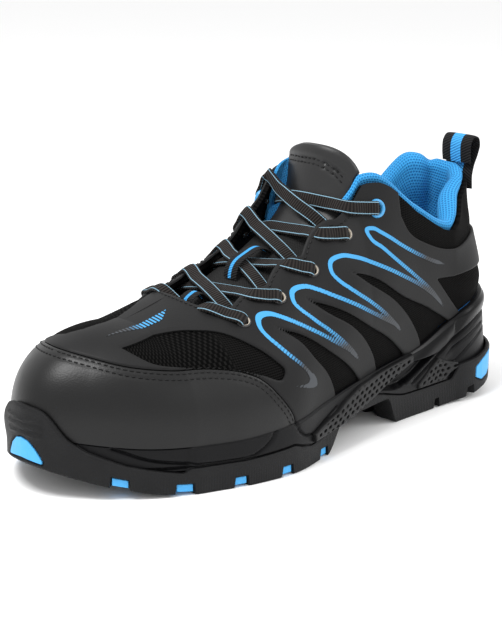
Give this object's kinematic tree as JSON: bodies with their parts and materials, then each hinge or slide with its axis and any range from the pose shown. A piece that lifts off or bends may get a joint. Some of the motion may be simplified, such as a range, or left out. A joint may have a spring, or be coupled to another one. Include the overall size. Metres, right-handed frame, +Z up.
{
  "type": "safety shoe",
  "caption": "Low laced safety shoe with a smooth toe cap, skeleton overlays over fabric, padded mesh collar, heel pull loop and a lugged two-layer sole.",
  "frame": {"origin": "middle of the footprint on the floor", "axes": "+X to the toe, +Y to the outer side of the left foot, +Z up"},
  "size_m": [0.3006, 0.1126, 0.143],
  "materials": {
    "sole_rubber": "matt black moulded rubber",
    "midsole_foam": "satin black moulded foam",
    "insole_fabric": "blue fabric over foam",
    "upper_fabric": "black ripstop and mesh",
    "overlay_synthetic": "matt dark grey synthetic leather",
    "toe_leather": "satin black smooth leather",
    "tongue_leather": "smooth black synthetic leather",
    "lining_mesh": "blue spacer mesh",
    "loop_webbing": "black woven webbing with a blue stripe",
    "keeper_webbing": "black woven webbing with a blue stripe",
    "lace_cord": "black ribbed flat lace with pale blue edges",
    "eyelet_ring": "blue moulded ring",
    "eyelet_rim": "dark rim of a punched hole",
    "inlay_rubber": "blue rubber",
    "strip_plastic": "dark grey moulded strip with pinholes"
  },
  "bodies": {
    "root": {"arch_strip_lat": "strip_plastic", "arch_strip_med": "strip_plastic", "collar_lining": "lining_mesh", "eyelet_lat_1": "eyelet_ring", "eyelet_lat_2": "eyelet_rim", "eyelet_lat_3": "eyelet_rim", "eyelet_lat_4": "eyelet_rim", "eyelet_lat_5": "eyelet_rim", "eyelet_med_1": "eyelet_ring", "eyelet_med_2": "eyelet_rim", "eyelet_med_3": "eyelet_rim", "eyelet_med_4": "eyelet_rim", "eyelet_med_5": "eyelet_rim", "inlay_ball_lat": "inlay_rubber", "inlay_ball_med": "inlay_rubber", "inlay_ball_rear_lat": "inlay_rubber", "inlay_ball_rear_med": "inlay_rubber", "inlay_heel_lat": "inlay_rubber", "inlay_heel_med": "inlay_rubber", "inlay_instep_lat": "inlay_rubber", "inlay_instep_med": "inlay_rubber", "inlay_toe": "inlay_rubber", "inlay_toe_root_lat": "inlay_rubber", "inlay_toe_root_med": "inlay_rubber", "inlay_toe_side_lat": "inlay_rubber", "inlay_toe_side_med": "inlay_rubber", "insole": "insole_fabric", "keeper_lower": "keeper_webbing", "keeper_upper": "keeper_webbing", "lace_1": "lace_cord", "lace_2": "lace_cord", "lace_3": "lace_cord", "lace_4": "lace_cord", "lace_5": "lace_cord", "midsole": "midsole_foam", "outsole": "sole_rubber", "overlay": "overlay_synthetic", "pull_loop": "loop_webbing", "toe_cap": "toe_leather", "tongue": "tongue_leather", "upper": "upper_fabric"}
  },
  "joints": []
}
